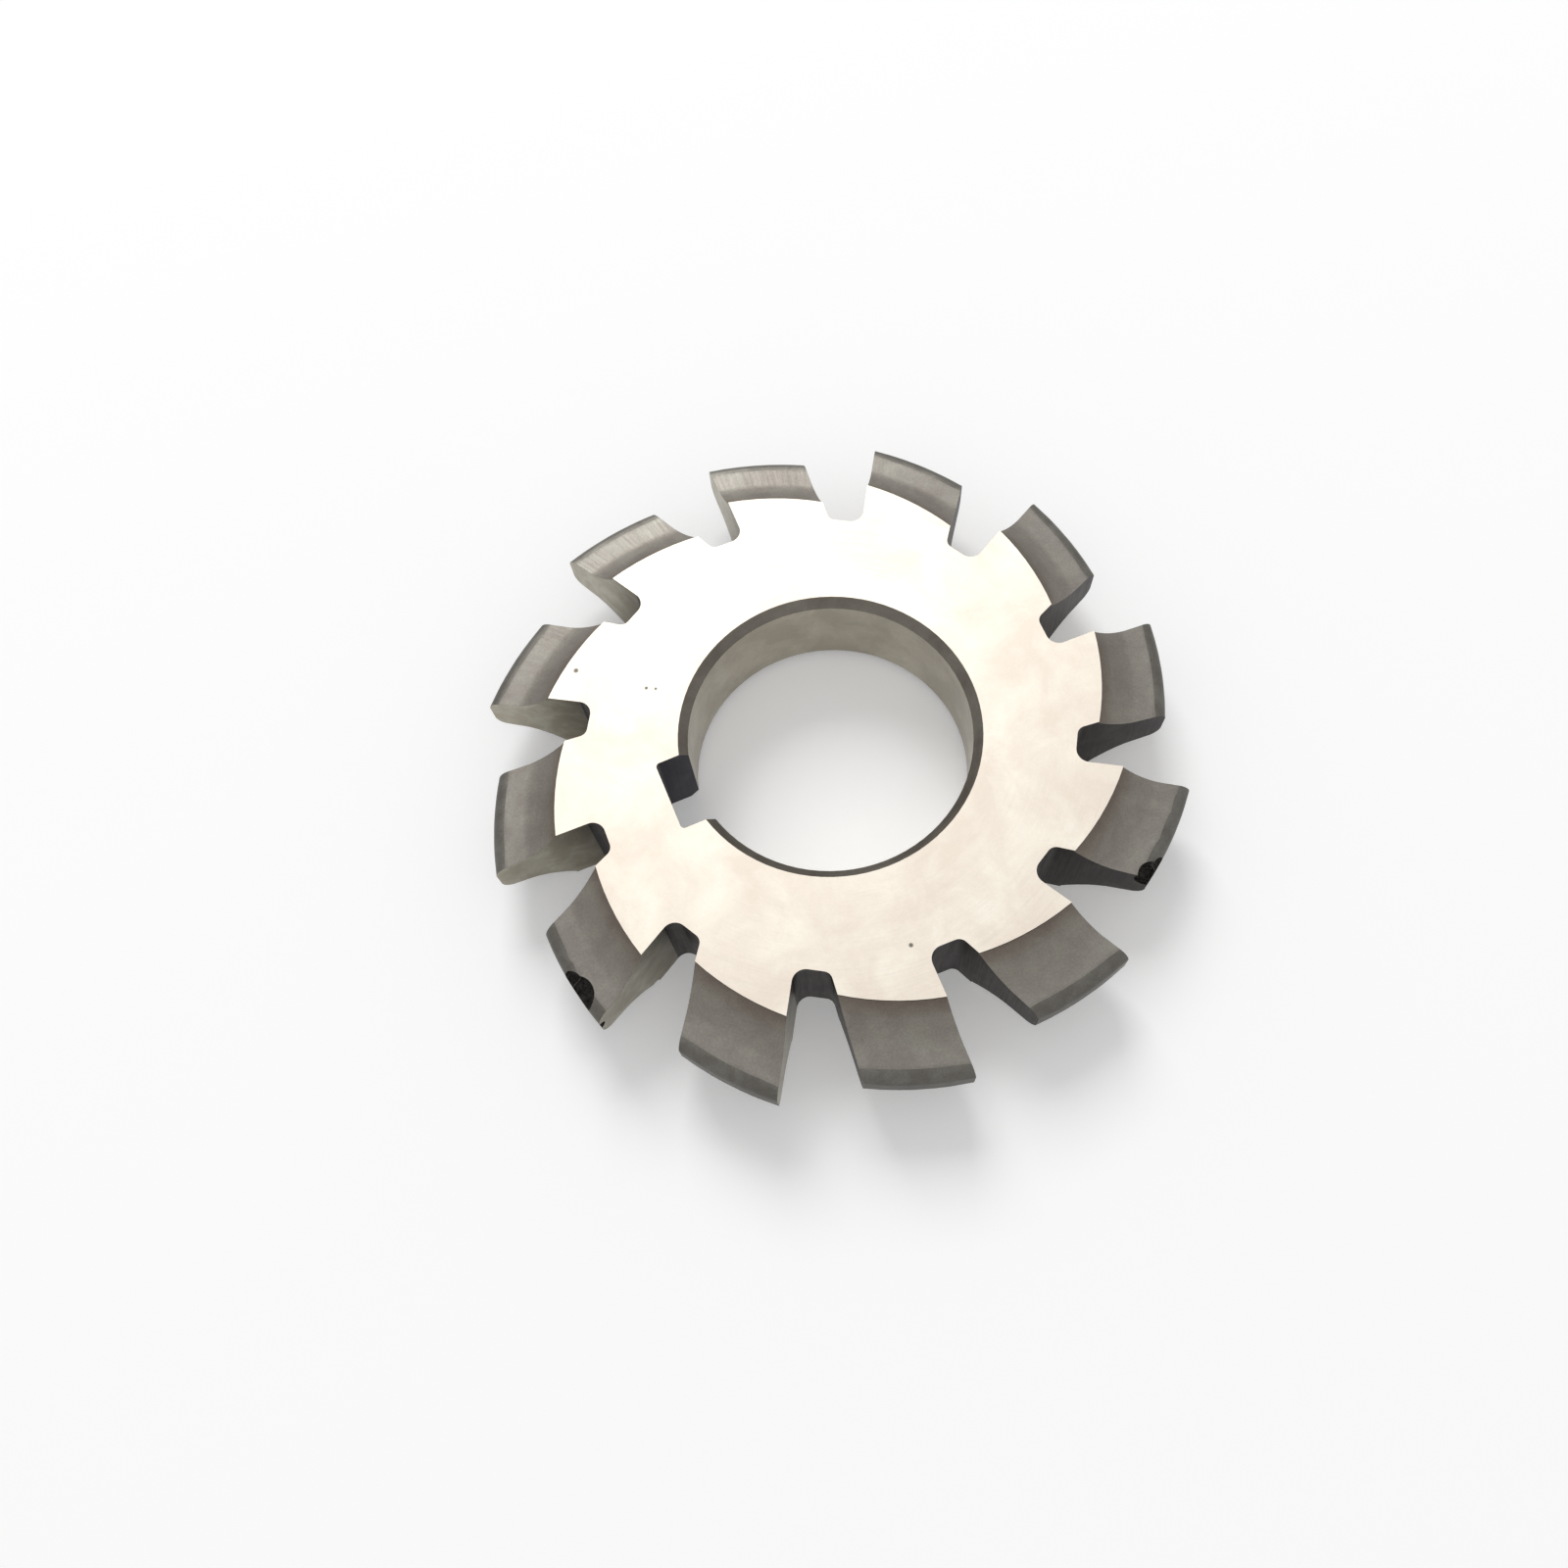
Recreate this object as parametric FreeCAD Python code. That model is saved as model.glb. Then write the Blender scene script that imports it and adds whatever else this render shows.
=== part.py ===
import FreeCAD, Part
import math
import os

# Form-relieved disc milling cutter for module 3 involute gears. One piece of hardened high-speed steel.
# Millimetres and degrees. The origin is on the bore's axis at the lower side face, +Z is the bore's axis.
# Seen from above, the cutting faces look counter-clockwise and each tooth trails away clockwise.

# Body
BORE = 27.0                      # arbor hole, diameter
THICKNESS = 10.7                 # over the two ground side faces
BORE_CHAMFER = 0.85              # 45 degrees, at both mouths
KEY_WIDTH = 7.0                  # keyway
KEY_HEIGHT = 29.8                # keyway floor to the bore's far wall
KEY_CORNER = 0.4                 # radius in the keyway's two floor corners
KEY_ANGLE = 180.0                # direction of the keyway

# The gear that the cutter makes
MODULE = 3.0
GEAR_TEETH = 12
PRESSURE_ANGLE = 20.0
OUTER_CIRCLE = MODULE * (GEAR_TEETH + 2) / 2
BASE_CIRCLE = MODULE * GEAR_TEETH * math.cos(math.radians(PRESSURE_ANGLE)) / 2
TOOTH_HEIGHT = 2.25 * MODULE + 0.05
FLANK_ALLOWANCE = 0.55           # each flank stands out this much, for the gear's backlash
TIP_ROUND = 1.25                 # radius of the two corners of the tooth's tip

# The cutter's own teeth
CUTTER_TEETH = 12
TIP_RADIUS = 34.1                # at the cutting face, after regrinding
FIRST_FACE = -1.2                # direction of one cutting face
RELIEF = 3.16                    # fall of the whole form over one pitch
PITCH = 360.0 / CUTTER_TEETH
SHOULDER_RADIUS = TIP_RADIUS - TOOTH_HEIGHT

# Gullets
ROOT_RADIUS = 22.9
GULLET_ANGLE = 25.0              # between the cutting face and the heel wall
GULLET_FLOOR = 3.27              # distance between the two walls at the floor
FACE_ROUND = 1.25                # floor corner below the cutting face
HEEL_ROUND = 0.9                 # floor corner below the heel wall

# Chips broken out of the teeth: tooth, degrees behind its cutting face, height above the shoulder,
# offset from the middle of the thickness, radius of the hollow
CHIPS = [
    (7, 7.4, TOOTH_HEIGHT + 0.20, 2.0, 1.4),
    (7, 5.5, TOOTH_HEIGHT + 0.10, 1.9, 1.8),
    (7, 0.2, TOOTH_HEIGHT + 0.15, 0.3, 0.7),
    (7, 0.0, 0.2, -5.2, 0.6),
    (11, 16.4, TOOTH_HEIGHT - 0.1, 1.5, 1.5),
    (11, 14.2, TOOTH_HEIGHT + 0.3, 1.5, 1.0),
]

# Construction
CORE_RADIUS = ROOT_RADIUS + FACE_ROUND + 0.05   # plain disc that the teeth grow from
TOOTH_FOOT = ROOT_RADIUS - 0.6   # inner end of each tooth, buried in the disc
TIP_ARCS = 5                     # faces in one rounded corner of the tip
OVER = 1.0                       # how far a cutting shape runs past what it cuts
OUTSIDE = TIP_RADIUS + 4.0


def involute(roll):
    """Distance from the gear's centre and half width of its tooth space, at one roll angle."""
    alpha = math.radians(PRESSURE_ANGLE)
    half_space = math.pi / (2 * GEAR_TEETH) - (math.tan(alpha) - alpha)
    radius = BASE_CIRCLE * math.sqrt(1 + roll * roll)
    turn = half_space + roll - math.atan(roll)
    return radius * math.cos(turn), radius * math.sin(turn) + FLANK_ALLOWANCE


def half_profile():
    """One side of a cutter tooth from shoulder to tip: involute, straight foot, then the corner in short arcs."""
    last = math.sqrt((OUTER_CIRCLE / BASE_CIRCLE) ** 2 - 1)
    outer = involute(last)[0]
    flank = []
    for i in range(4):
        reach, half = involute(last * math.sqrt(1 - i / 3))
        flank.append((outer - reach, half))
    base, base_half = flank[-1]
    start = TOOTH_HEIGHT - TIP_ROUND
    start_half = base_half - (base_half - FLANK_ALLOWANCE) / (outer - base) * (start - base)
    corner = []
    for i in range(3 * TIP_ARCS + 1):
        bend = math.radians(90.0 * i / (3 * TIP_ARCS))
        corner.append((start + TIP_ROUND * math.sin(bend), start_half - TIP_ROUND * (1 - math.cos(bend))))
    arcs = [corner[3 * i:3 * i + 4] for i in range(TIP_ARCS)]
    return [flank, line_run(flank[-1], corner[0]), *arcs]


def line_run(first, last):
    """Four points evenly spaced from first to last."""
    return [tuple(p + (q - p) * i / 3 for p, q in zip(first, last)) for i in range(4)]


def outline():
    """Runs of four points (height above the shoulder, offset from the middle) round one tooth."""
    foot = TOOTH_FOOT - SHOULDER_RADIUS
    side = THICKNESS / 2
    upper = [list(run) for run in half_profile()]
    lower = [[(h, -w) for h, w in reversed(run)] for run in reversed(upper)]
    return [
        line_run((foot, side), (0.0, side)),
        line_run((0.0, side), upper[0][0]),
        *upper,
        line_run(upper[-1][-1], lower[0][0]),
        *lower,
        line_run(lower[-1][-1], (0.0, -side)),
        line_run((0.0, -side), (foot, -side)),
        line_run((foot, -side), (foot, side)),
    ]


def place(point, turn):
    """A point of the outline, turned clockwise from the cutting face and fallen by its relief."""
    radius = SHOULDER_RADIUS + point[0] - RELIEF * turn / PITCH
    angle = math.radians(-turn)
    return FreeCAD.Vector(radius * math.cos(angle), radius * math.sin(angle), THICKNESS / 2 + point[1])


def heel_turn(point):
    """Turn at which a point of the outline reaches the heel wall."""
    slope = math.tan(math.radians(GULLET_ANGLE))
    low, high = 0.0, PITCH
    for _ in range(50):
        middle = (low + high) / 2
        spot = place(point, middle)
        spot = FreeCAD.Rotation(FreeCAD.Vector(0, 0, 1), PITCH).multVec(spot)
        if spot.y > GULLET_FLOOR + slope * (spot.x - ROOT_RADIUS):
            low = middle
        else:
            high = middle
    return low


def through(points):
    """Poles of the cubic curve that passes through four evenly spaced points."""
    a, b, c, d = points
    return [a, (b * 18 - a * 5 - c * 9 + d * 2) / 6, (c * 18 + a * 2 - b * 9 - d * 5) / 6, d]


def curve(points):
    """Edge through four points."""
    line = Part.BezierCurve()
    line.setPoles(through(points))
    return line.toShape()


def patch(rows):
    """Smooth face through four rows of four points."""
    rows = [through(row) for row in rows]
    columns = [through([row[j] for row in rows]) for j in range(4)]
    surface = Part.BezierSurface()
    surface.increase(3, 3)
    for j in range(4):
        for i in range(4):
            surface.setPole(i + 1, j + 1, columns[j][i])
    return surface.toShape()


def side(rows):
    """Flat face inside the border of four rows of four points."""
    ends = [[row[3] for row in rows], [row[0] for row in rows]]
    return Part.Face(Part.Wire([curve(rows[0]), curve(ends[0]), curve(rows[3]), curve(ends[1])]))


def tooth():
    """One tooth with its cutting face along +X: its form falls from there to the heel wall."""
    faces = []
    front = []
    back = []
    for run in outline():
        heel = [heel_turn(p) for p in run]
        rows = [[place(p, t * i / 3) for p, t in zip(run, heel)] for i in range(4)]
        flat = all(abs(abs(p[1]) - THICKNESS / 2) < 1e-9 for p in run)
        faces.append(side(rows) if flat else patch(rows))
        front.append(curve(rows[0]))
        back.append(curve(rows[3]))
    caps = [Part.Face(Part.Wire(front)), Part.Face(Part.Wire(back))]
    shell = Part.makeShell(faces + caps)
    shell.sewShape()
    return Part.makeSolid(shell)


def gullet():
    """Space in front of a cutting face that lies along +X: radial wall, rounded floor, sloping heel wall."""
    slope = math.tan(math.radians(GULLET_ANGLE))
    heel = math.radians(GULLET_ANGLE)
    face_middle = FreeCAD.Vector(ROOT_RADIUS + FACE_ROUND, FACE_ROUND, -OVER)
    # centre of the heel corner: HEEL_ROUND from the floor and from the heel wall
    centre_x = ROOT_RADIUS + HEEL_ROUND
    centre_y = GULLET_FLOOR + slope * HEEL_ROUND - HEEL_ROUND / math.cos(heel)
    heel_middle = FreeCAD.Vector(centre_x, centre_y, -OVER)

    def around(middle, radius, degrees):
        a = math.radians(degrees)
        return middle + FreeCAD.Vector(radius * math.cos(a), radius * math.sin(a), 0)

    heel_end = 90.0 + GULLET_ANGLE
    a = FreeCAD.Vector(OUTSIDE, 0, -OVER)
    b = around(face_middle, FACE_ROUND, 270)
    c = around(face_middle, FACE_ROUND, 180)
    d = around(heel_middle, HEEL_ROUND, 180)
    e = around(heel_middle, HEEL_ROUND, heel_end)
    f = FreeCAD.Vector(OUTSIDE, GULLET_FLOOR + slope * (OUTSIDE - ROOT_RADIUS), -OVER)
    edges = [
        Part.makeLine(a, b),
        Part.Arc(b, around(face_middle, FACE_ROUND, 225), c).toShape(),
        Part.makeLine(c, d),
        Part.Arc(d, around(heel_middle, HEEL_ROUND, (180 + heel_end) / 2), e).toShape(),
        Part.makeLine(e, f),
        Part.makeLine(f, a),
    ]
    return Part.Face(Part.Wire(edges)).extrude(FreeCAD.Vector(0, 0, THICKNESS + 2 * OVER))


def turned(shape, degrees):
    """A copy of the shape turned about the bore's axis."""
    copy = shape.copy()
    copy.rotate(FreeCAD.Vector(0, 0, 0), FreeCAD.Vector(0, 0, 1), degrees)
    return copy


def bore_shape():
    """The bore with its two chamfered mouths, and the keyway."""
    radius = BORE / 2
    wide = radius + BORE_CHAMFER
    hole = Part.makeCylinder(radius, THICKNESS + 2 * OVER, FreeCAD.Vector(0, 0, -OVER))
    low = Part.makeCone(wide + OVER, radius, BORE_CHAMFER + OVER, FreeCAD.Vector(0, 0, -OVER))
    top = Part.makeCone(radius, wide + OVER, BORE_CHAMFER + OVER,
                        FreeCAD.Vector(0, 0, THICKNESS - BORE_CHAMFER))
    floor = KEY_HEIGHT - radius
    key = Part.makeBox(floor, KEY_WIDTH, THICKNESS + 2 * OVER, FreeCAD.Vector(0, -KEY_WIDTH / 2, -OVER))
    corners = [e for e in key.Edges
               if abs(e.Vertexes[0].X - floor) < 1e-6 and abs(e.Vertexes[1].X - floor) < 1e-6
               and abs(e.Vertexes[0].Z - e.Vertexes[1].Z) > 1]
    key = turned(key.makeFillet(KEY_CORNER, corners), KEY_ANGLE)
    return hole.multiFuse([low, top, key])


def chip(number, turn, height, offset, radius):
    """The hollow that one chip leaves in a tooth."""
    return turned(Part.makeSphere(radius, place((height, offset), turn)), FIRST_FACE + PITCH * number)


body = Part.makeCylinder(CORE_RADIUS, THICKNESS)
space = gullet()
spaces = [turned(space, FIRST_FACE + PITCH * i) for i in range(CUTTER_TEETH)]
body = body.cut(spaces[0].multiFuse(spaces[1:]))
one = tooth()
teeth = [turned(one, FIRST_FACE + PITCH * i) for i in range(CUTTER_TEETH)]
cutter = body.multiFuse(teeth).removeSplitter()
cutter = cutter.cut(bore_shape())
for hollow in CHIPS:
    cutter = cutter.cut(chip(*hollow))

os.makedirs("parts", exist_ok=True)
solid = cutter.Solids[0]
solid.exportStep("parts/gear_cutter.step")
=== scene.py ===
"""Disc milling cutter for gear teeth: the finishes of its steel, the table it lies on and the light.

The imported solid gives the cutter's shape. Here a copy of it gets broken edges, smooth rounds and a finish
for each surface, after the operation that made the surface: ground, relief turned, milled, bored, broached.
Lengths are named in millimetres and turned to metres where Blender takes them.
"""

import logging
import math
from dataclasses import dataclass, field
from enum import Enum
from typing import Any

import bpy
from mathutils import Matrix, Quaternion, Vector


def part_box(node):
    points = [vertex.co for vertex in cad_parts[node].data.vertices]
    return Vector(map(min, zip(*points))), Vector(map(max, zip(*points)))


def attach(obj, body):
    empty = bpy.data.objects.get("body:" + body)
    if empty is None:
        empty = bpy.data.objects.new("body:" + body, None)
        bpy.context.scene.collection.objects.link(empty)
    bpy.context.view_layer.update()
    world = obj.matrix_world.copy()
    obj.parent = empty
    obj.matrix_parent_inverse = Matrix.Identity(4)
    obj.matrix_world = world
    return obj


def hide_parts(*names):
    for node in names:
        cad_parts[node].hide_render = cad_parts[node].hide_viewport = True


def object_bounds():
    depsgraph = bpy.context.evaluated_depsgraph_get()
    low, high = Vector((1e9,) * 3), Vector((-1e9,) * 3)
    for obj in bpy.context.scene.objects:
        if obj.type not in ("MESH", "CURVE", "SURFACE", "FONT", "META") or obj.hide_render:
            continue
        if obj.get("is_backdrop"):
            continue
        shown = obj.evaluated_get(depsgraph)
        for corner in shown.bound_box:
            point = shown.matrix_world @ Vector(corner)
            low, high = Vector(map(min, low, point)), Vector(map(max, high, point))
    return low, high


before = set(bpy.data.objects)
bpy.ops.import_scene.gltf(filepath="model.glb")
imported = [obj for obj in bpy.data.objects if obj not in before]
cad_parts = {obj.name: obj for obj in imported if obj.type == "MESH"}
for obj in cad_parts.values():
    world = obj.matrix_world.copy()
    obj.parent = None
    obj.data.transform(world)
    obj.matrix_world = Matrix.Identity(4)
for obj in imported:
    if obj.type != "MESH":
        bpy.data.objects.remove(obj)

LOG = logging.getLogger("cutter")
MM = 0.001
SOLID = "gear_cutter"
SURFACE_MAP = "surface_map"
# nearly all of a noise texture's values lie between these
NOISE_LOW, NOISE_HIGH = 0.3, 0.7
# noise values at which a stain would start and be full, before a finish's share of stains lowers both
STAIN_START, STAIN_FULL = 0.62, 0.95
# a face this near to a known surface, in millimetres, lies on it
TOUCH_MM = 0.01
# distance from the axis at which ring-shaped marks have their stated length
RING_MM = 20


def linear(hex_colour: str) -> tuple[float, float, float, float]:
    """Turns an sRGB colour to the linear one that a shader takes.

    Args:
        hex_colour: The colour as "#RRGGBB".

    Returns:
        Red, green, blue and an alpha of 1.
    """
    parts = [int(hex_colour[i : i + 2], 16) / 255 for i in (1, 3, 5)]
    parts = [p / 12.92 if p <= 0.04045 else ((p + 0.055) / 1.055) ** 2.4 for p in parts]
    return parts[0], parts[1], parts[2], 1.0


def add_node(
    tree: bpy.types.NodeTree,
    kind: str,
    settings: dict[str, Any] | None = None,
    inputs: dict[str | int, Any] | None = None,
) -> bpy.types.Node:
    """Adds one node with its settings, and gives each named input its value or its link.

    Args:
        tree: The node tree that gets the node.
        kind: The node's type, without the leading "ShaderNode".
        settings: Properties of the node itself.
        inputs: Input name or number to a plain value, or to the output socket that feeds it.

    Returns:
        The new node.
    """
    node = tree.nodes.new("ShaderNode" + kind)
    for name, value in (settings or {}).items():
        setattr(node, name, value)
    for name, value in (inputs or {}).items():
        if isinstance(value, bpy.types.NodeSocket):
            tree.links.new(value, node.inputs[name])
        else:
            node.inputs[name].default_value = value
    return node


def seen_or_mirrored(tree: bpy.types.NodeTree) -> bpy.types.NodeSocket:
    """Tells rays that look at a surface, straight or in a reflection, from rays that gather light.

    Args:
        tree: The node tree that gets the nodes.

    Returns:
        A socket that is 1 for camera, glossy and transmission rays, and 0 for the rest.
    """
    rays = add_node(tree, "LightPath")
    direct, glossy, through = (rays.outputs[f"Is {kind} Ray"] for kind in ("Camera", "Glossy", "Transmission"))
    either = add_node(tree, "Math", {"operation": "MAXIMUM"}, {0: direct, 1: glossy})
    return add_node(tree, "Math", {"operation": "MAXIMUM"}, {0: either.outputs[0], 1: through}).outputs[0]


def direction(azimuth: float, elevation: float) -> Vector:
    """Points from the cutter towards a lamp or the camera.

    Args:
        azimuth: Degrees round the axis from -Y, the front, towards +X.
        elevation: Degrees above the table.

    Returns:
        A vector of length 1.
    """
    turn, rise = math.radians(azimuth), math.radians(elevation)
    return Vector((math.cos(rise) * math.sin(turn), -math.cos(rise) * math.cos(turn), math.sin(rise)))


class Surface(Enum):
    """The surfaces of the cutter, each left by one operation in its making."""

    SIDE = "ground side face"
    FLANK = "relieved tooth flank"
    TIP = "relieved tooth tip"
    RAKE = "ground cutting face"
    GULLET = "milled gullet"
    BORE = "ground bore"
    MOUTH = "turned bore mouth"
    KEYWAY = "broached keyway"
    CHIP = "broken chip"
    EDGE = "broken edge"


class Lay(Enum):
    """Which way a surface's tool marks run."""

    ROUND_THE_AXIS = "rings round the bore"
    ALONG_FIRST = "along the surface map's first axis"
    ALONG_SECOND = "along the surface map's second axis"


@dataclass(frozen=True)
class ToolSteel:
    """Bare high-speed steel as one operation leaves it. The colours are those of clean and stained metal.

    Metal reflects in its own colour, so the clean colour sets how light the surface reads. Roughness sets how
    soft its highlight is, and varies with the tool marks. Stains, marks and grain have their sizes in millimetres.
    """

    name: str
    clean: str
    stained: str
    roughness: float
    lay: Lay
    stain_mm: float = 5.0
    stain_share: float = 0.35
    mark_mm: float = 0.12
    mark_length_mm: float = 6.0
    mark_depth_mm: float = 0.003
    mark_tone: float = 0.06
    grain_mm: float = 0.18
    grain_tone: float = 0.05
    roughness_spread: float = 0.06

    def material(self) -> bpy.types.Material:
        """Makes the material.

        Returns:
            The material, with its colour, roughness and bump from nodes.
        """
        material = bpy.data.materials.new(self.name)
        material.use_nodes = True
        tree = material.node_tree
        shader = tree.nodes["Principled BSDF"]
        shader.inputs["Metallic"].default_value = 1.0
        place = self.millimetres(tree)
        marks = self.marks(tree)
        colour = self.stains(tree, place)
        colour = self.toned(tree, colour, marks, self.mark_tone)
        colour = self.toned(tree, colour, self.grain(tree, place), self.grain_tone)
        colour = self.details(tree, colour, place)
        tree.links.new(colour, shader.inputs["Base Color"])
        tree.links.new(self.gloss(tree, marks), shader.inputs["Roughness"])
        tree.links.new(self.bump(tree, marks, place), shader.inputs["Normal"])
        return material

    def millimetres(self, tree: bpy.types.NodeTree) -> bpy.types.NodeSocket:
        """Gives the place on the object in millimetres.

        Args:
            tree: The material's node tree.

        Returns:
            A vector socket.
        """
        where = add_node(tree, "TexCoord")
        scaled = add_node(tree, "VectorMath", {"operation": "SCALE"}, {0: where.outputs["Object"], "Scale": 1 / MM})
        return scaled.outputs[0]

    def marks(self, tree: bpy.types.NodeTree) -> bpy.types.NodeSocket:
        """Draws the tool marks, long along their lay and narrow across it.

        Args:
            tree: The material's node tree.

        Returns:
            A socket from 0 to 1.
        """
        fine, long = 1 / self.mark_mm, 1 / self.mark_length_mm
        if self.lay is Lay.ROUND_THE_AXIS:
            apart = add_node(tree, "SeparateXYZ", inputs={0: self.millimetres(tree)})
            flat = add_node(tree, "CombineXYZ", inputs={0: apart.outputs[0], 1: apart.outputs[1]})
            reach = add_node(tree, "VectorMath", {"operation": "LENGTH"}, {0: flat.outputs[0]})
            ring = add_node(tree, "Math", {"operation": "MULTIPLY"}, {0: reach.outputs["Value"], 1: fine})
            unit = add_node(tree, "VectorMath", {"operation": "NORMALIZE"}, {0: flat.outputs[0]})
            turn = add_node(tree, "VectorMath", {"operation": "SCALE"}, {0: unit.outputs[0], "Scale": RING_MM * long})
            ends = add_node(tree, "SeparateXYZ", inputs={0: turn.outputs[0]})
            spot = add_node(tree, "CombineXYZ", inputs={0: ends.outputs[0], 1: ends.outputs[1], 2: ring.outputs[0]})
        else:
            along = (long, fine, 1.0) if self.lay is Lay.ALONG_FIRST else (fine, long, 1.0)
            where = add_node(tree, "UVMap", {"uv_map": SURFACE_MAP})
            spot = add_node(tree, "Mapping", inputs={"Vector": where.outputs[0], "Scale": along})
        noise = add_node(
            tree, "TexNoise", inputs={"Vector": spot.outputs[0], "Scale": 1.0, "Detail": 3.0, "Roughness": 0.6}
        )
        return noise.outputs[0]

    def grain(self, tree: bpy.types.NodeTree, place: bpy.types.NodeSocket) -> bpy.types.NodeSocket:
        """Draws the metal's fine speckle.

        Args:
            tree: The material's node tree.
            place: The place on the object in millimetres.

        Returns:
            A socket from 0 to 1.
        """
        noise = add_node(tree, "TexNoise", inputs={"Vector": place, "Scale": 1 / self.grain_mm, "Detail": 2.0})
        return noise.outputs[0]

    def stains(self, tree: bpy.types.NodeTree, place: bpy.types.NodeSocket) -> bpy.types.NodeSocket:
        """Mixes clean and stained metal in soft patches.

        Args:
            tree: The material's node tree.
            place: The place on the object in millimetres.

        Returns:
            A colour socket.
        """
        noise = add_node(
            tree,
            "TexNoise",
            inputs={"Vector": place, "Scale": 1 / self.stain_mm, "Detail": 5.0, "Roughness": 0.62, "Distortion": 0.4},
        )
        share = add_node(
            tree,
            "MapRange",
            inputs={
                "Value": noise.outputs[0],
                "From Min": STAIN_START - self.stain_share,
                "From Max": STAIN_FULL - self.stain_share,
            },
        )
        mixed = add_node(
            tree,
            "Mix",
            {"data_type": "RGBA"},
            {"Factor": share.outputs[0], 6: linear(self.clean), 7: linear(self.stained)},
        )
        return mixed.outputs[2]

    def toned(
        self, tree: bpy.types.NodeTree, colour: bpy.types.NodeSocket, pattern: bpy.types.NodeSocket, amount: float
    ) -> bpy.types.NodeSocket:
        """Makes a colour lighter and darker with a pattern.

        Args:
            tree: The material's node tree.
            colour: The colour so far.
            pattern: A pattern from 0 to 1.
            amount: How much lighter or darker the pattern's ends are.

        Returns:
            A colour socket.
        """
        level = add_node(
            tree,
            "MapRange",
            inputs={
                "Value": pattern,
                "From Min": NOISE_LOW,
                "From Max": NOISE_HIGH,
                "To Min": 1 - amount,
                "To Max": 1 + amount,
            },
        )
        shade = add_node(tree, "VectorMath", {"operation": "SCALE"}, {0: colour, "Scale": level.outputs[0]})
        return shade.outputs[0]

    def details(
        self, tree: bpy.types.NodeTree, colour: bpy.types.NodeSocket, place: bpy.types.NodeSocket
    ) -> bpy.types.NodeSocket:
        """Adds what only this surface has. A plain surface has nothing more.

        Args:
            tree: The material's node tree.
            colour: The colour so far.
            place: The place on the object in millimetres.

        Returns:
            A colour socket.
        """
        return colour

    def gloss(self, tree: bpy.types.NodeTree, marks: bpy.types.NodeSocket) -> bpy.types.NodeSocket:
        """Spreads the roughness with the tool marks.

        Args:
            tree: The material's node tree.
            marks: The tool marks.

        Returns:
            A roughness socket.
        """
        level = add_node(
            tree,
            "MapRange",
            inputs={
                "Value": marks,
                "From Min": NOISE_LOW,
                "From Max": NOISE_HIGH,
                "To Min": self.roughness - self.roughness_spread,
                "To Max": self.roughness + self.roughness_spread,
            },
        )
        return level.outputs[0]

    def bump(
        self, tree: bpy.types.NodeTree, marks: bpy.types.NodeSocket, place: bpy.types.NodeSocket
    ) -> bpy.types.NodeSocket:
        """Cuts the tool marks and the grain into the surface.

        Args:
            tree: The material's node tree.
            marks: The tool marks.
            place: The place on the object in millimetres.

        Returns:
            A normal socket.
        """
        depth = self.mark_depth_mm * MM
        lines = add_node(tree, "Bump", inputs={"Height": marks, "Strength": 0.6, "Distance": depth})
        speck = self.grain(tree, place)
        both = add_node(
            tree, "Bump", inputs={"Height": speck, "Strength": 0.4, "Distance": depth, "Normal": lines.outputs[0]}
        )
        return both.outputs[0]


@dataclass(frozen=True)
class SideGroundSteel(ToolSteel):
    """The bright side face, with a few rust pits.

    A pit is its angle in degrees from +X, its distance from the axis and its radius, both in millimetres.
    """

    pits: tuple[tuple[float, float, float], ...] = ()
    pit_colour: str = "#6E6A62"

    def details(
        self, tree: bpy.types.NodeTree, colour: bpy.types.NodeSocket, place: bpy.types.NodeSocket
    ) -> bpy.types.NodeSocket:
        """Darkens a small round spot at each pit.

        Args:
            tree: The material's node tree.
            colour: The colour so far.
            place: The place on the object in millimetres.

        Returns:
            A colour socket.
        """
        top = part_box(SOLID)[1].z / MM
        for angle, reach, radius in self.pits:
            turn = math.radians(angle)
            spot = (reach * math.cos(turn), reach * math.sin(turn), top)
            away = add_node(tree, "VectorMath", {"operation": "DISTANCE"}, {0: place, 1: spot})
            inside = add_node(
                tree,
                "MapRange",
                {"interpolation_type": "SMOOTHSTEP"},
                {"Value": away.outputs["Value"], "From Min": radius * 1.3, "From Max": radius * 0.5},
            )
            mixed = add_node(
                tree,
                "Mix",
                {"data_type": "RGBA"},
                {"Factor": inside.outputs[0], 6: colour, 7: linear(self.pit_colour)},
            )
            colour = mixed.outputs[2]
        return colour


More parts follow.
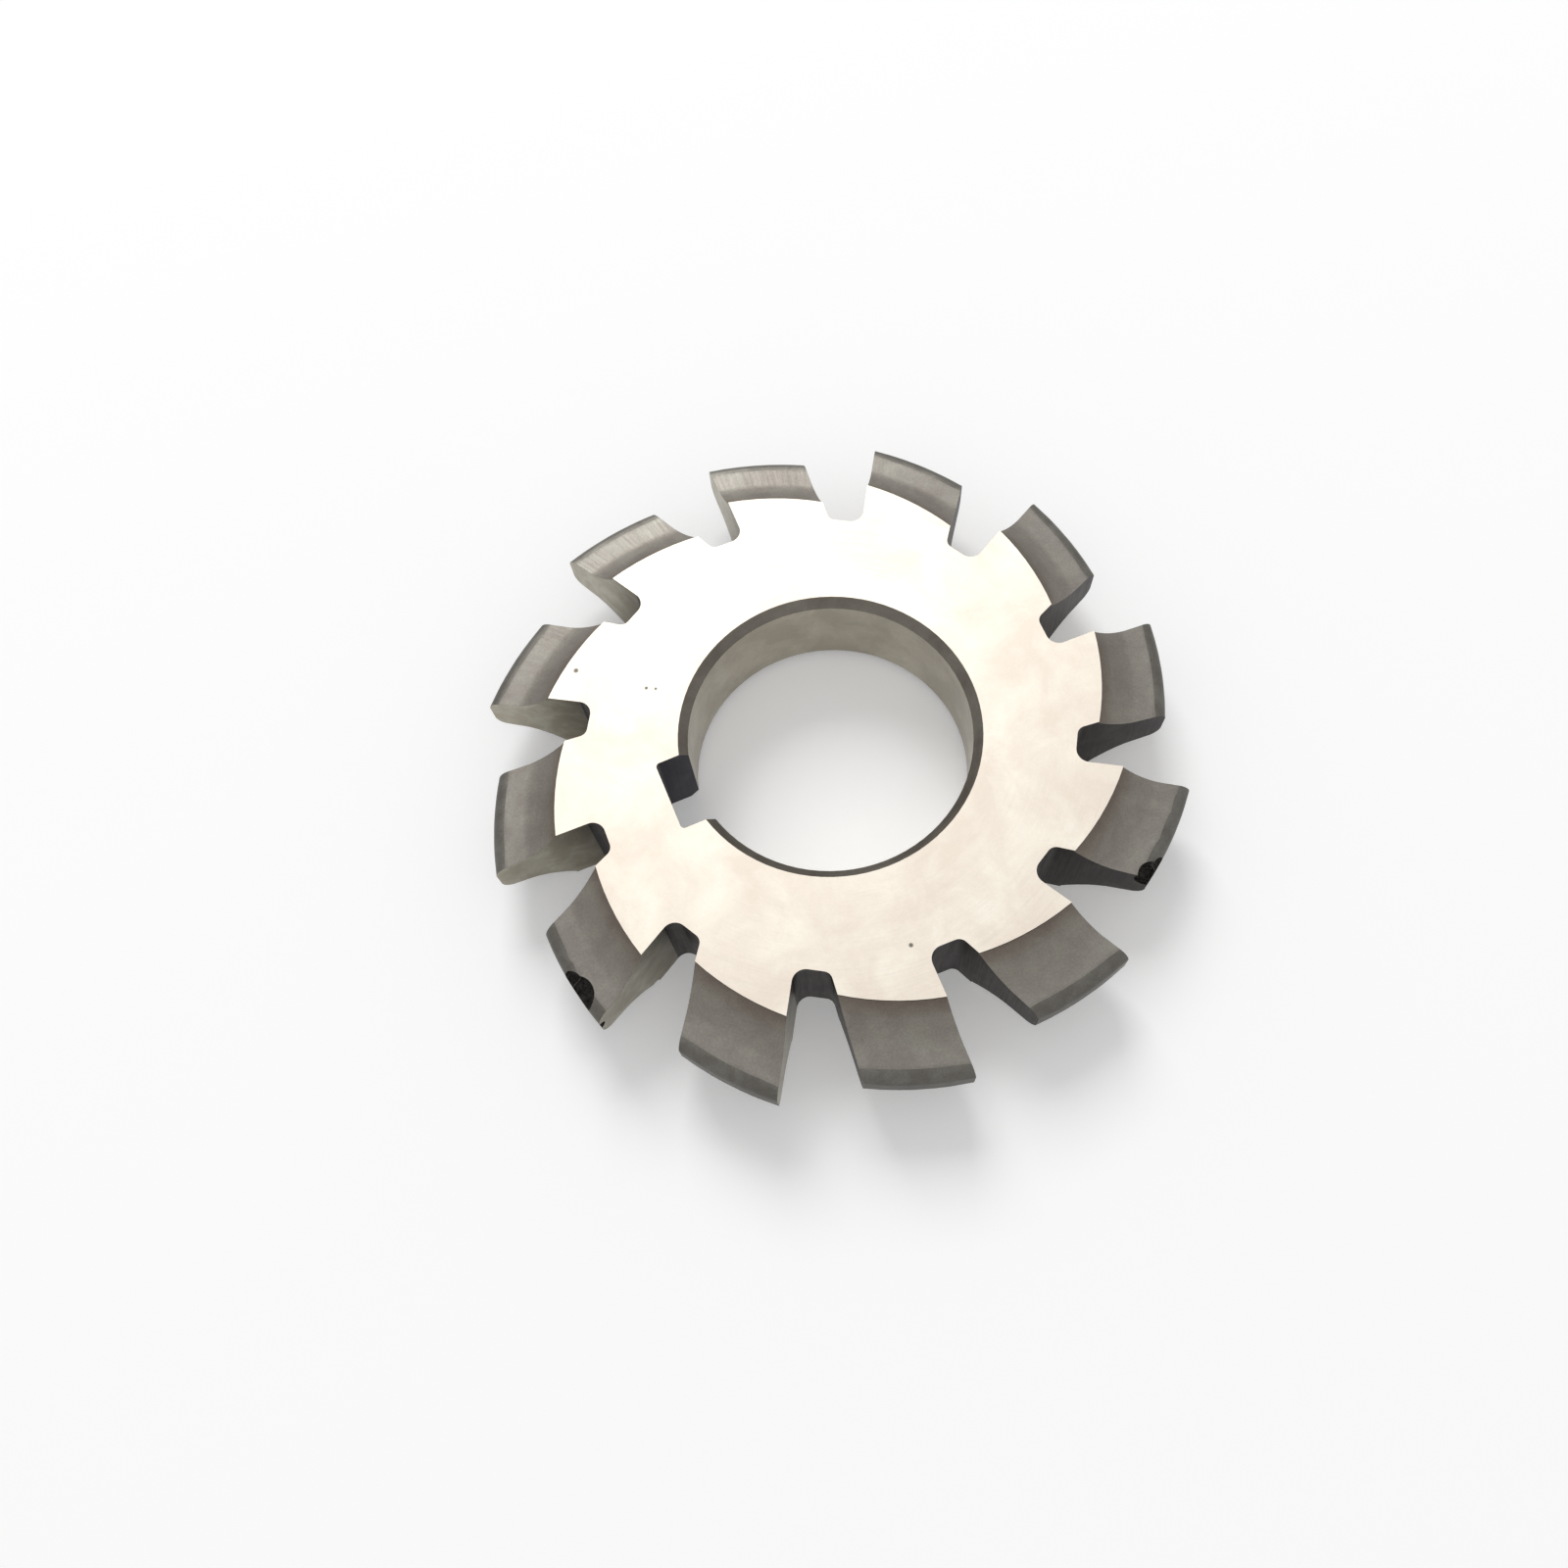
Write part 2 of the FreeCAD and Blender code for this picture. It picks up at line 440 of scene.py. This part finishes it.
@dataclass(frozen=True)
class BandedSteel(ToolSteel):
    """A surface whose tone changes with its height, the surface map's second axis.

    Each band is a height in millimetres and the tone that multiplies the surface's own colour there.
    """

    bands: tuple[tuple[float, str], ...] = ()

    def details(
        self, tree: bpy.types.NodeTree, colour: bpy.types.NodeSocket, place: bpy.types.NodeSocket
    ) -> bpy.types.NodeSocket:
        """Lays the bands over the colour.

        Args:
            tree: The material's node tree.
            colour: The colour so far.
            place: The place on the object in millimetres.

        Returns:
            A colour socket.
        """
        low, high = self.bands[0][0], self.bands[-1][0]
        where = add_node(tree, "UVMap", {"uv_map": SURFACE_MAP})
        apart = add_node(tree, "SeparateXYZ", inputs={0: where.outputs[0]})
        height = add_node(tree, "MapRange", inputs={"Value": apart.outputs[1], "From Min": low, "From Max": high})
        ramp = add_node(tree, "ValToRGB", inputs={0: height.outputs[0]})
        stops = ramp.color_ramp.elements
        for number, (level, tone) in enumerate(self.bands):
            spot = (level - low) / (high - low)
            stop = stops[number] if number < 2 else stops.new(spot)
            stop.position = spot
            stop.color = linear(tone)
        over = add_node(
            tree,
            "Mix",
            {"data_type": "RGBA", "blend_type": "MULTIPLY"},
            {"Factor": 1.0, 6: colour, 7: ramp.outputs[0]},
        )
        return over.outputs[2]


@dataclass(frozen=True)
class ChippedSteel(ToolSteel):
    """The rough break of a chip: dark, with bright grains."""

    def bump(
        self, tree: bpy.types.NodeTree, marks: bpy.types.NodeSocket, place: bpy.types.NodeSocket
    ) -> bpy.types.NodeSocket:
        """Breaks the surface into small facets.

        Args:
            tree: The material's node tree.
            marks: The tool marks.
            place: The place on the object in millimetres.

        Returns:
            A normal socket.
        """
        facets = add_node(tree, "TexVoronoi", inputs={"Vector": place, "Scale": 3.0})
        rough = add_node(tree, "Bump", inputs={"Height": facets.outputs[0], "Strength": 0.9, "Distance": 0.25 * MM})
        return rough.outputs[0]


# Real surfaces of a used gear cutter. Ground marks are finer than 0.05 mm, which is too fine to show, so
# all marks are drawn 0.12 to 0.25 mm apart.
FINISHES: dict[Surface, ToolSteel] = {
    # ground on a rotary table: bright, with faint rings, hand stains and pits
    Surface.SIDE: SideGroundSteel(
        "side_ground_tool_steel",
        "#DDD8CC",
        "#D0C6BA",
        0.50,
        Lay.ROUND_THE_AXIS,
        stain_mm=6.0,
        mark_tone=0.02,
        grain_tone=0.02,
        pits=((141.5, 25.4, 0.26), (141.7, 18.2, 0.18), (141.2, 17.3, 0.15), (265.9, 21.9, 0.22)),
    ),
    # turned with a form tool that falls behind each cutting edge, then hardened: matt grey
    Surface.FLANK: BandedSteel(
        "relief_turned_tool_steel",
        "#88867E",
        "#7C7771",
        0.52,
        Lay.ALONG_SECOND,
        stain_mm=3.0,
        mark_mm=0.25,
        mark_tone=0.04,
        grain_tone=0.09,
        # bands: the pinkish tint at the shoulder is a real temper tint; the darker grey towards the tip round is
        # painted shade
        bands=((-0.4, "#C8BAB4"), (0.2, "#D8CEC8"), (1.4, "#F4F2F0"), (5.2, "#FFFFFF"), (6.8, "#B4B4B4")),
    ),
    # the tip round: the same relief-turned steel as the flank, coloured darker as painted shade on the round
    Surface.TIP: ToolSteel(
        "relief_turned_tip_steel_painted_shade",
        "#6E6C66",
        "#5E5B56",
        0.50,
        Lay.ALONG_FIRST,
        stain_mm=2.0,
        mark_tone=0.05,
        grain_tone=0.08,
    ),
    # ground with a dish wheel each time the cutter is sharpened
    Surface.RAKE: BandedSteel(
        "face_ground_tool_steel",
        "#B4B1A3",
        "#968F7E",
        0.36,
        Lay.ALONG_SECOND,
        stain_mm=2.2,
        mark_tone=0.06,
        # bands: painted shade, darker down the cutting face towards the gullet
        bands=((0.0, "#9E9A94"), (3.0, "#D2CEC6"), (6.0, "#FFFFFF"), (12.0, "#FFFFFF")),
    ),
    # milled, then darkened in hardening; the dark colour is partly that scale and partly painted shade of the hollow
    # between the teeth
    Surface.GULLET: ToolSteel(
        "milled_steel_scale_and_painted_shade",
        "#4B4844",
        "#373333",
        0.48,
        Lay.ALONG_FIRST,
        stain_mm=3.0,
        mark_mm=0.2,
        mark_tone=0.08,
    ),
    # internally ground
    Surface.BORE: ToolSteel(
        "bore_ground_tool_steel",
        "#C2BCAE",
        "#A9A294",
        0.33,
        Lay.ALONG_FIRST,
        stain_mm=4.0,
        mark_length_mm=14.0,
    ),
    # turned before hardening
    Surface.MOUTH: ToolSteel(
        "turned_hardened_steel",
        "#76736B",
        "#625C55",
        0.45,
        Lay.ROUND_THE_AXIS,
        mark_tone=0.08,
    ),
    # broached before hardening
    Surface.KEYWAY: ToolSteel(
        "broached_hardened_steel",
        "#515056",
        "#3E3D43",
        0.50,
        Lay.ALONG_SECOND,
        mark_mm=0.25,
        mark_tone=0.1,
    ),
    Surface.CHIP: ChippedSteel(
        "fractured_tool_steel",
        "#3C3A38",
        "#24211F",
        0.60,
        Lay.ALONG_FIRST,
        stain_mm=0.8,
        grain_tone=0.25,
        grain_mm=0.25,
    ),
    # edges that handling and stoning have rounded and rubbed bright
    Surface.EDGE: ToolSteel(
        "edge_worn_tool_steel",
        "#A8A498",
        "#6C6860",
        0.35,
        Lay.ALONG_FIRST,
        stain_mm=1.5,
        stain_share=0.5,
        mark_tone=0.05,
    ),
}


@dataclass
class GearCutter:
    """The cutter: its sizes in millimetres, and how its copy is worked and dressed."""

    node: str = SOLID
    slot: str = "tool_steel"
    teeth: int = 12
    first_face: float = -1.2
    shoulder_radius: float = 27.3
    tooth_height: float = 6.8
    tip_round: float = 1.25
    relief: float = 3.16
    root_radius: float = 22.9
    # asked for on every hard edge; the solid's short facets hold it to about a fifth of this
    edge_break: float = 0.06
    flat_angle: float = 0.25
    hard_angle: float = 24.0
    smooth_angle: float = 21.0
    bore_radius: float = 13.5
    key_reach: float = 4.0
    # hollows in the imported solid: tooth, degrees behind its cutting face, height above the shoulder,
    # offset from the middle of the thickness, radius
    chips: tuple[tuple[int, float, float, float, float], ...] = (
        (7, 7.4, 7.0, 2.0, 1.4),
        (7, 5.5, 6.9, 1.9, 1.8),
        (7, 0.2, 6.95, 0.3, 0.7),
        (7, 0.0, 0.2, -5.2, 0.6),
        (11, 16.4, 6.7, 1.5, 1.5),
        (11, 14.2, 7.1, 1.5, 1.0),
    )
    thickness: float = field(init=False)
    hollows: list[tuple[Vector, float]] = field(init=False, repr=False)
    piece: bpy.types.Object | None = field(default=None, init=False, repr=False)

    def __post_init__(self) -> None:
        """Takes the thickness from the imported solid, and places the chips' hollows."""
        low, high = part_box(self.node)
        self.thickness = (high.z - low.z) / MM
        self.hollows = [(self.chip_place(*spot), radius) for *spot, radius in self.chips]

    @property
    def pitch(self) -> float:
        """Degrees from one cutting face to the next."""
        return 360.0 / self.teeth

    def build(self) -> bpy.types.Object:
        """Works the copy and dresses it.

        Returns:
            The finished piece.
        """
        self.piece = self.copy_solid()
        self.clean_faces()
        self.give_finishes()
        self.break_edges()
        self.lay_surface_map()
        self.smooth_rounds()
        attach(self.piece, "root")
        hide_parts(self.node)
        return self.piece

    def copy_solid(self) -> bpy.types.Object:
        """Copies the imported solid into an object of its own.

        Returns:
            The new object, selected and active.
        """
        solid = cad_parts[self.node]
        mesh = solid.data.copy()
        mesh.name = "relieved_cutter"
        mesh.materials.clear()
        piece = bpy.data.objects.new("relieved_cutter", mesh)
        bpy.context.scene.collection.objects.link(piece)
        bpy.ops.object.select_all(action="DESELECT")
        piece.select_set(True)
        bpy.context.view_layer.objects.active = piece
        return piece

    def clean_faces(self) -> None:
        """Merges the copy's loose corners and joins the triangles of each flat face."""
        bpy.ops.object.mode_set(mode="EDIT")
        bpy.ops.mesh.select_all(action="SELECT")
        bpy.ops.mesh.remove_doubles(threshold=0.001 * MM)
        bpy.ops.mesh.customdata_custom_splitnormals_clear()
        bpy.ops.mesh.dissolve_limited(angle_limit=math.radians(self.flat_angle))
        bpy.ops.object.mode_set(mode="OBJECT")

    def cutting_face_behind(self, centre: Vector) -> tuple[int, float]:
        """Finds which tooth a place belongs to.

        Args:
            centre: A place on the cutter, in millimetres.

        Returns:
            The tooth's number, and how many degrees the place lies behind its cutting face.
        """
        angle = math.degrees(math.atan2(centre.y, centre.x)) - self.first_face
        number = math.ceil(angle / self.pitch - 1e-4)
        return number, number * self.pitch - angle

    def in_tooth(self, point: Vector, number: int) -> Vector:
        """Gives a place in its tooth's own directions.

        Args:
            point: A place on the cutter, in millimetres.
            number: The tooth's number.

        Returns:
            Distance along the cutting face's direction, distance in front of it, and height on the axis.
        """
        turn = Quaternion((0, 0, 1), -math.radians(self.first_face + number * self.pitch))
        return turn @ point

    def chip_place(self, number: int, turn: float, height: float, offset: float) -> Vector:
        """Gives the middle of one chip's hollow.

        Args:
            number: The tooth's number.
            turn: Degrees behind the cutting face.
            height: Height above the shoulder.
            offset: Offset from the middle of the thickness.

        Returns:
            The place in millimetres.
        """
        reach = self.shoulder_radius + height - self.relief * turn / self.pitch
        angle = math.radians(self.first_face + number * self.pitch - turn)
        return Vector((reach * math.cos(angle), reach * math.sin(angle), self.thickness / 2 + offset))

    def surface_at(self, corners: list[Vector], centre: Vector, normal: Vector) -> Surface:
        """Tells which surface a face belongs to, from its place and direction.

        Args:
            corners: The face's corners, in millimetres.
            centre: The face's middle, in millimetres.
            normal: The face's direction.

        Returns:
            The surface.
        """
        for middle, radius in self.hollows:
            if all(abs((c - middle).length - radius) < TOUCH_MM for c in corners):
                return Surface.CHIP
        reach = centre.xy.length
        outward = normal.xy.dot(centre.xy) / reach
        if abs(normal.z) > 0.9999 and min(centre.z, self.thickness - centre.z) < TOUCH_MM:
            return Surface.SIDE
        if reach < self.bore_radius + self.key_reach:
            if abs(normal.z) > 0.3:
                return Surface.MOUTH
            return Surface.BORE if reach < self.bore_radius + 2 * TOUCH_MM and outward < -0.9 else Surface.KEYWAY
        number, turn = self.cutting_face_behind(centre)
        own = self.in_tooth(centre, number)
        ahead = self.in_tooth(normal, number)
        if turn < 0.2 and ahead.y > 0.999:
            return Surface.RAKE if own.x > self.root_radius else Surface.GULLET
        if abs(normal.z) < 0.02 and outward < 0.9:
            return Surface.GULLET
        height = reach + self.relief * turn / self.pitch - self.shoulder_radius
        if height < 0.1 and abs(normal.z) < 0.02:
            return Surface.GULLET
        if height > self.tooth_height - self.tip_round + 0.05:
            return Surface.TIP
        return Surface.FLANK

    def give_finishes(self) -> None:
        """Gives every face the finish of its surface."""
        mesh = self.piece.data
        order = list(FINISHES)
        for surface in order:
            mesh.materials.append(FINISHES[surface].material())
        counts = dict.fromkeys(order, 0)
        for face in mesh.polygons:
            corners = [mesh.vertices[v].co / MM for v in face.vertices]
            surface = self.surface_at(corners, face.center / MM, face.normal)
            face.material_index = order.index(surface)
            counts[surface] += 1
        for surface, count in counts.items():
            LOG.info("%s: %d faces", surface.value, count)

    def break_edges(self) -> None:
        """Takes the sharpness off every hard edge, and gives the very narrow new faces the worn finish."""
        worn = list(FINISHES).index(Surface.EDGE)
        bpy.ops.object.mode_set(mode="EDIT")
        bpy.ops.mesh.select_mode(type="EDGE")
        bpy.ops.mesh.select_all(action="DESELECT")
        bpy.ops.mesh.edges_select_sharp(sharpness=math.radians(self.hard_angle))
        bpy.ops.mesh.bevel(offset=self.edge_break * MM, segments=1, clamp_overlap=True, material=worn)
        bpy.ops.object.mode_set(mode="OBJECT")

    def map_place(self, surface: Surface, point: Vector, number: int, middle: float) -> tuple[float, float]:
        """Lays a point of a surface out flat, in millimetres.

        Args:
            surface: The surface that the point is on.
            point: The point, in millimetres.
            number: The tooth's number.
            middle: The angle of its face's middle round the axis, in radians.

        Returns:
            The two places of the surface map.
        """
        apart = 40.0 * number
        angle = math.atan2(point.y, point.x)
        if surface in (Surface.FLANK, Surface.TIP, Surface.CHIP, Surface.EDGE):
            ahead = math.radians(self.first_face + number * self.pitch)
            turn = math.remainder(ahead - angle, math.tau)
            height = point.xy.length + self.relief * math.degrees(turn) / self.pitch - self.shoulder_radius
            return apart + turn * self.shoulder_radius, height
        if surface in (Surface.RAKE, Surface.GULLET):
            own = self.in_tooth(point, number)
            return apart + own.z, own.x - self.root_radius - own.y
        if surface in (Surface.BORE, Surface.MOUTH):
            return (middle + math.remainder(angle - middle, math.tau)) * self.bore_radius, point.z
        return point.x + point.y, point.z

    def lay_surface_map(self) -> None:
        """Lays each surface out flat in millimetres, so that its marks follow it."""
        mesh = self.piece.data
        order = list(FINISHES)
        for old in list(mesh.uv_layers):
            mesh.uv_layers.remove(old)
        places = mesh.uv_layers.new(name=SURFACE_MAP).uv
        for face in mesh.polygons:
            surface = order[face.material_index]
            number = self.cutting_face_behind(face.center / MM)[0]
            middle = math.atan2(face.center.y, face.center.x)
            for loop in face.loop_indices:
                point = mesh.vertices[mesh.loops[loop].vertex_index].co / MM
                places[loop].vector = self.map_place(surface, point, number, middle)

    def smooth_rounds(self) -> None:
        """Shades the rounds smooth, and keeps the flat faces flat up to their edges."""
        bpy.ops.object.select_all(action="DESELECT")
        self.piece.select_set(True)
        bpy.context.view_layer.objects.active = self.piece
        bpy.ops.object.shade_smooth_by_angle(angle=math.radians(self.smooth_angle))
        bpy.ops.object.modifier_add(type="WEIGHTED_NORMAL")
        modifier = self.piece.modifiers[-1]
        modifier.keep_sharp = True
        modifier.weight = 80
        bpy.ops.object.modifier_apply(modifier=modifier.name)


@dataclass
class Table:
    """The plain white surface that the cutter lies on."""

    size: float = 3.0
    gap: float = 0.02
    colour: str = "#F2F2F2"
    glow: float = 0.25

    def build(self) -> bpy.types.Object:
        """Makes the table's top and its material.

        Returns:
            The table.
        """
        bpy.ops.object.select_all(action="DESELECT")
        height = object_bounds()[0].z - self.gap * MM
        bpy.ops.mesh.primitive_plane_add(size=self.size, location=(0, 0, height))
        table = bpy.context.object
        table.name = "white_table"
        bpy.ops.object.transform_apply(location=True)
        table.data.materials.append(self.material())
        table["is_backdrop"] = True
        return table

    def material(self) -> bpy.types.Material:
        """Matt white board. To the camera and in reflections it is a little lighter, so that it reads white.

        Returns:
            The material.
        """
        material = bpy.data.materials.new("matt_white_board")
        material.use_nodes = True
        tree = material.node_tree
        shader = tree.nodes["Principled BSDF"]
        shader.inputs["Base Color"].default_value = linear(self.colour)
        shader.inputs["Roughness"].default_value = 0.9
        shader.inputs["Specular IOR Level"].default_value = 0.1
        shader.inputs["Emission Color"].default_value = (1.0, 1.0, 1.0, 1.0)
        level = add_node(tree, "Math", {"operation": "MULTIPLY"}, {0: seen_or_mirrored(tree), 1: self.glow})
        tree.links.new(level.outputs[0], shader.inputs["Emission Strength"])
        return material


@dataclass
class Studio:
    """A white room, and one large lamp high behind the cutter, so that its shadow falls to the front."""

    room: float = 0.48
    lamp_size: float = 0.95
    lamp_distance: float = 2.0
    lamp_azimuth: float = 172.0
    lamp_elevation: float = 41.0
    lamp_power: float = 21.0

    def build(self) -> None:
        """Makes the room and the lamp."""
        self.light_room()
        self.hang_lamp()

    def light_room(self) -> None:
        """Fills the world with white: full strength where it is seen or mirrored, less as light."""
        world = bpy.data.worlds.new("white_room")
        world.use_nodes = True
        bpy.context.scene.world = world
        tree = world.node_tree
        ground = tree.nodes["Background"]
        ground.inputs["Color"].default_value = (1.0, 1.0, 1.0, 1.0)
        level = add_node(
            tree, "MapRange", inputs={"Value": seen_or_mirrored(tree), "To Min": self.room, "To Max": 1.0}
        )
        tree.links.new(level.outputs[0], ground.inputs["Strength"])

    def hang_lamp(self) -> None:
        """Hangs the square lamp and turns it to the cutter."""
        away = direction(self.lamp_azimuth, self.lamp_elevation)
        bpy.ops.object.light_add(type="AREA", location=away * self.lamp_distance)
        lamp = bpy.context.object
        lamp.name = "high_back_lamp"
        lamp.data.shape = "SQUARE"
        lamp.data.size = self.lamp_size
        lamp.data.energy = self.lamp_power
        lamp.rotation_mode = "QUATERNION"
        lamp.rotation_quaternion = away.to_track_quat("Z", "Y")


@dataclass
class Viewpoint:
    """Where the camera stands: above the front, a little to the left. Angles in degrees, lengths in mm."""

    azimuth: float = -14.95
    elevation: float = 68.3
    roll: float = 8.2
    distance: float = 137.5
    lens: float = 32.6
    aim: tuple[float, float] = (-5.43, -1.12)

    def build(self) -> bpy.types.Object:
        """Makes the camera and looks through it.

        Returns:
            The camera.
        """
        low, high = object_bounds()
        back = direction(self.azimuth, self.elevation)
        target = Vector((self.aim[0] * MM, self.aim[1] * MM, (low.z + high.z) / 2))
        bpy.ops.object.camera_add(location=target + back * self.distance * MM)
        camera = bpy.context.object
        camera.name = "camera"
        camera.rotation_mode = "QUATERNION"
        camera.rotation_quaternion = back.to_track_quat("Z", "Y") @ Quaternion((0, 0, 1), -math.radians(self.roll))
        camera.data.sensor_width = 36.0
        camera.data.lens = self.lens
        camera.data.clip_start = 0.005
        camera.data.clip_end = 10.0
        bpy.context.scene.camera = camera
        return camera


def main() -> None:
    """Builds the cutter, the table, the light and the camera."""
    logging.basicConfig(level=logging.INFO, format="%(name)s: %(message)s")
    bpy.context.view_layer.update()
    bpy.context.scene.view_settings.view_transform = "Standard"
    Viewpoint().build()
    cutter = GearCutter().build()
    LOG.info("%s: %d faces", cutter.name, len(cutter.data.polygons))
    Table().build()
    Studio().build()


if __name__ == "__main__":
    main()
